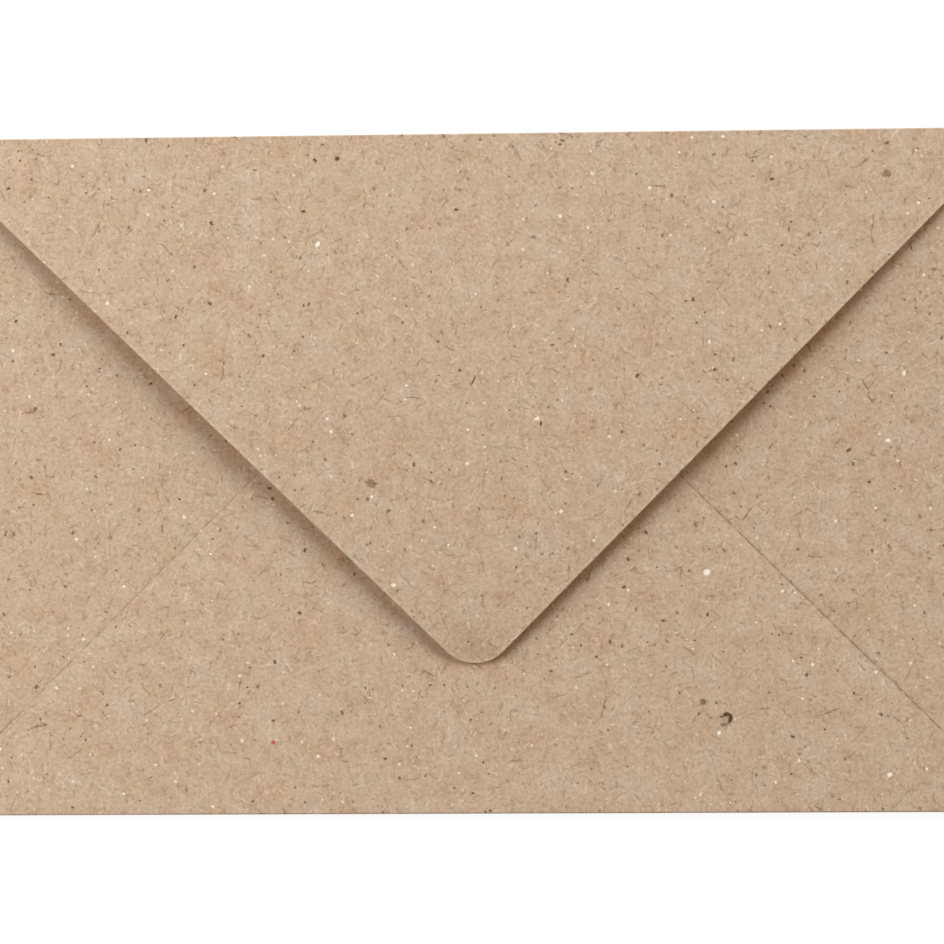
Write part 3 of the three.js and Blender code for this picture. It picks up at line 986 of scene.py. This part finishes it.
class ENVELOPE_OT_stage(bpy.types.Operator):
    """Makes the white table, the studio light and the camera"""

    bl_idname = "envelope.stage"
    bl_label = "Table, Light and Camera"

    def execute(self, context):
        """The table and the world are white to the camera. Near the envelope the table also takes light, so it
        keeps the shadow.
        """
        scene = context.scene
        mesh = bpy.data.meshes.new("table_top")
        around = ((-1, -1), (1, -1), (1, 1), (-1, 1))
        mesh.from_pydata([(x * TABLE_HALF, y * TABLE_HALF, -TABLE_DROP) for x, y in around], [], [(0, 1, 2, 3)])
        table = bpy.data.objects.new("table_top", mesh)
        scene.collection.objects.link(table)
        material = bpy.data.materials.new("White table")
        material.use_nodes = True
        tree = material.node_tree
        tree.nodes.remove(tree.nodes["Principled BSDF"])
        greys = [(grey, grey, grey, 1.0) for grey in (TABLE_MATTE, TABLE_PLAIN)]
        matte, plain = [put(tree, "ShaderNodeBsdfDiffuse", grey)[0] for grey in greys]
        glow, white = [put(tree, "ShaderNodeEmission", WHITE, strength)[0] for strength in (TABLE_GLOW, 1.0)]
        place = put(tree, "ShaderNodeTexCoord")["Object"]
        reach = put(tree, "ShaderNodeVectorMath", place, operation="LENGTH")["Value"]
        near = put(tree, "ShaderNodeAddShader", matte, glow)[0]
        lit = put(tree, "ShaderNodeMixShader", ramp(tree, reach, *TABLE_FADE), near, white)[0]
        mixed = put(tree, "ShaderNodeMixShader", self.seen_directly(tree), plain, lit)[0]
        tree.links.new(mixed, tree.nodes["Material Output"].inputs["Surface"])
        mesh.materials.append(material)

        world = bpy.data.worlds.new("Studio")
        world.use_nodes = True
        scene.world = world
        tree = world.node_tree
        back = tree.nodes["Background"]
        back.inputs["Color"].default_value = WHITE
        wire(tree, back.inputs["Strength"], self.seen_directly(tree))

        for name, (azimuth, zenith, distance, size) in LAMPS.items():
            part = getattr(scene.envelope_stage, name)
            self.add_lamp(scene, name.replace("_", " ") + " light", math.radians(azimuth),
                          math.radians(zenith), distance, size, part)
        self.add_camera(scene)
        scene.view_settings.view_transform = "Standard"
        return {"FINISHED"}

    def seen_directly(self, tree):
        """1 for rays from the camera, through glass and off gloss, and 0 for the light that falls on things."""
        path = put(tree, "ShaderNodeLightPath")
        both = maths(tree, "MAXIMUM", path["Is Camera Ray"], path["Is Glossy Ray"])
        return maths(tree, "MAXIMUM", both, path["Is Transmission Ray"])

    def add_lamp(self, scene, name, azimuth, zenith, distance, size, part):
        """A square lamp aimed at the origin. A small flat lamp of power P at distance d lights a level surface
        with P cos(zenith) / (pi d squared), and a white surface shows its colour as written at an irradiance of
        pi.
        """
        lamp = bpy.data.lights.new(name, "AREA")
        lamp.shape = "SQUARE"
        lamp.size = size
        lamp.energy = max(part) * math.pi * math.pi * distance ** 2 / math.cos(zenith)
        lamp.color = [channel / max(part) for channel in part]
        holder = bpy.data.objects.new(name, lamp)
        flat = math.sin(zenith)
        away = np.array([flat * math.cos(azimuth), flat * math.sin(azimuth), math.cos(zenith)])
        holder.location = away * distance
        holder.rotation_euler = (0.0, zenith, azimuth)
        scene.collection.objects.link(holder)

    def add_camera(self, scene):
        """The camera looks almost straight down from 0.4 m."""
        data = bpy.data.cameras.new("camera")
        data.sensor_fit = "HORIZONTAL"
        data.sensor_width = 36.0
        data.lens = data.sensor_width * FOCAL_PIXELS / PHOTO_SIDE
        data.clip_start, data.clip_end = 0.01, 20.0
        camera = bpy.data.objects.new("camera", data)
        camera.location = [part * MM for part in CAMERA_PLACE]
        camera.rotation_euler = [math.radians(angle) for angle in CAMERA_TURN]
        scene.collection.objects.link(camera)
        scene.camera = camera


OPERATORS = (
    ENVELOPE_OT_front_panel,
    ENVELOPE_OT_side_flaps,
    ENVELOPE_OT_bottom_flap,
    ENVELOPE_OT_seal_flap,
    ENVELOPE_OT_folds,
    ENVELOPE_OT_seam_paste,
    ENVELOPE_OT_seal_gum,
    ENVELOPE_OT_stage,
)


class VIEW3D_PT_envelope(bpy.types.Panel):
    """Lists the sizes, the colours and the operators"""

    bl_idname = "VIEW3D_PT_envelope"
    bl_label = "Recycled Envelope"
    bl_space_type = "VIEW_3D"
    bl_region_type = "UI"
    bl_category = "Envelope"

    def draw(self, context):
        for group in GROUPS:
            column = self.layout.column()
            for name in GROUPS[group].__annotations__:
                column.prop(getattr(context.scene, group), name)
        for operator in OPERATORS:
            self.layout.operator(operator.bl_idname)


GROUPS = {
    "envelope_sizes": EnvelopeSizes,
    "envelope_colours": EnvelopeColours,
    "envelope_stage": EnvelopeStage,
}


def register():
    """Registers the classes and puts the property groups on the scene."""
    for group in (*GROUPS.values(), *OPERATORS, VIEW3D_PT_envelope):
        bpy.utils.register_class(group)
    for name, group in GROUPS.items():
        setattr(bpy.types.Scene, name, bpy.props.PointerProperty(type=group))


def unregister():
    """Takes the property groups off the scene and the classes out again."""
    for name in GROUPS:
        delattr(bpy.types.Scene, name)
    for group in (VIEW3D_PT_envelope, *OPERATORS[::-1], *GROUPS.values()):
        bpy.utils.unregister_class(group)


def main():
    """Builds every piece and the stage."""
    register()
    for operator in OPERATORS:
        family, name = operator.bl_idname.split(".")
        getattr(getattr(bpy.ops, family), name)()


if __name__ == "__main__":
    main()
